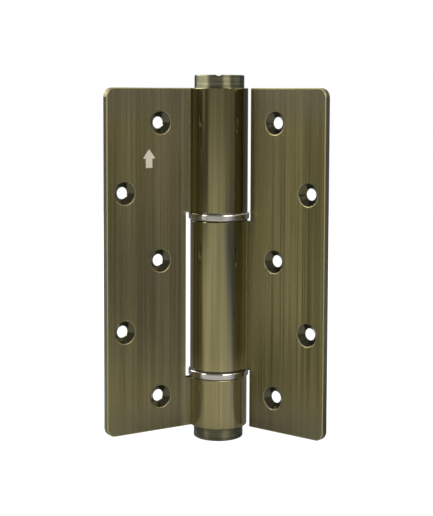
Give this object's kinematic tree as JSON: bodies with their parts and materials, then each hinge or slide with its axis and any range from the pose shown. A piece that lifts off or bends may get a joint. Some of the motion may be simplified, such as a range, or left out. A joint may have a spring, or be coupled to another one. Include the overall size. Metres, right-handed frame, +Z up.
{
  "type": "hydraulic butt hinge",
  "caption": "Butt hinge with countersunk leaves, a round barrel with polished bearing rings, a slotted tension cap and an oil-damped cam piston inside.",
  "frame": {"origin": "centre of the bottom cap's flat end face, on the pin axis", "axes": "+Z up along the pin axis; the frame leaf lies along -X with its mounting face towards +Y; the door leaf stands open at 110 degrees from it, between +X and -Y"},
  "size_m": [0.078, 0.0635, 0.1614],
  "materials": {
    "leaf_bronze": "brushed antique bronze",
    "cap_bronze": "turned antique bronze",
    "ring_polish": "polished",
    "washer_black": "matt",
    "ground_steel": "ground",
    "dark_steel": "black oxide",
    "seal_rubber": "smooth",
    "bush_plastic": "moulded"
  },
  "bodies": {
    "frame_side": {"frame_leaf": "leaf_bronze", "bottom_cap": "cap_bronze", "cap_lock_screw": "dark_steel", "upper_bearing_ring": "ring_polish", "lower_bearing_ring": "ring_polish", "upper_thrust_washer": "washer_black", "lower_thrust_washer": "washer_black", "cam_spindle": "ground_steel", "trunnion_bush": "bush_plastic", "cap_circlip": "dark_steel", "closing_spring": "dark_steel"},
    "door_side": {"door_leaf": "leaf_bronze", "cylinder_tube": "ground_steel", "lower_gland": "ground_steel", "gland_o_ring": "seal_rubber", "gland_seal": "seal_rubber", "upper_plug": "ground_steel", "plug_o_ring": "seal_rubber"},
    "piston_group": {"piston": "ground_steel", "piston_seal": "seal_rubber", "cam_pin": "ground_steel", "check_ball": "ground_steel", "ball_retainer": "ground_steel"},
    "tension_cap": {"top_cap": "cap_bronze"},
    "speed_valve": {"speed_screw": "ground_steel", "screw_o_ring": "seal_rubber"}
  },
  "joints": [
    {"name": "door_swing", "type": "hinge", "parent": "frame_side", "child": "door_side", "pos_m": [0, 0, 0.0643], "axis": [0, 0, 1], "range_deg": [-110, 70], "deforming": ["closing_spring"]},
    {"name": "piston_slide", "type": "slide", "parent": "door_side", "child": "piston_group", "axis": [0, 0, 1], "range_m": [-0.0049, 0.00312]},
    {"name": "cap_turn", "type": "hinge", "parent": "frame_side", "child": "tension_cap", "pos_m": [0, 0, 0.1557], "axis": [0, 0, 1], "range_deg": [0, 180], "deforming": ["closing_spring"]},
    {"name": "speed_turn", "type": "hinge", "parent": "frame_side", "child": "speed_valve", "pos_m": [0, 0, 0.0032], "axis": [0, 0, 1], "range_deg": [-180, 180]}
  ],
  "couplings": [
    {"joint": "piston_slide", "follows": "door_swing", "m_per_rad": 0.0025465}
  ]
}
